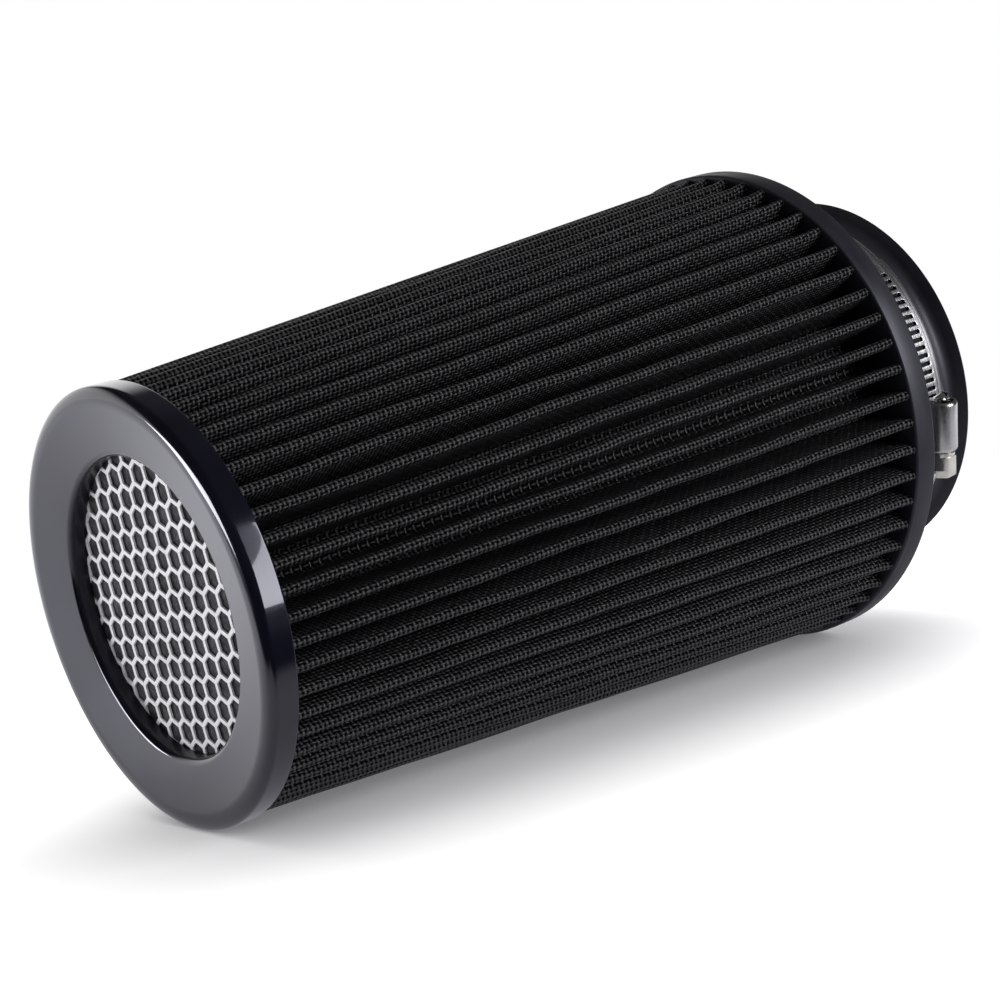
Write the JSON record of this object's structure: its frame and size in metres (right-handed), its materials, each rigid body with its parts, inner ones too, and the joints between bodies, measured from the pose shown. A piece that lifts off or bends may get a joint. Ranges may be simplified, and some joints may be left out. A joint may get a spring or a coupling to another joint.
{
  "type": "cone air filter",
  "caption": "Tapered pleated intake air filter with a windowed end cap, a moulded rubber neck and a slotted worm-drive hose clamp.",
  "frame": {"origin": "centre of the neck's mouth, on the plane of its end face", "axes": "+Z along the filter's axis from the neck's mouth to the end cap; -Y towards the clamp's screw housing; the screw's head points to -X"},
  "size_m": [0.152, 0.152, 0.2665],
  "materials": {
    "gloss_moulding": "glossy moulded black",
    "silver_mesh": "silver paint on punched sheet",
    "grey_gauze": "dark grey woven gauze",
    "black_screen": "black epoxy on woven wire",
    "dark_gauze": "black woven gauze",
    "inner_wire": "black epoxy on woven wire",
    "black_rubber": "satin moulded rubber",
    "band_steel": "bright rolled strip",
    "housing_steel": "satin pressed sheet",
    "screw_steel": "bright zinc plate"
  },
  "bodies": {
    "filter": {"end_cap": "gloss_moulding", "window_mesh": "silver_mesh", "window_gauze": "grey_gauze", "outer_screen": "black_screen", "folded_gauze": "dark_gauze", "inner_screen": "inner_wire", "base_boot": "black_rubber", "clamp_band": "band_steel", "clamp_housing": "housing_steel"},
    "screw": {"clamp_screw": "screw_steel"}
  },
  "joints": [
    {"name": "screw_turn", "type": "hinge", "parent": "filter", "child": "screw", "pos_m": [0, -0.06025, 0.01475], "axis": [1, 0, 0], "continuous": true}
  ]
}
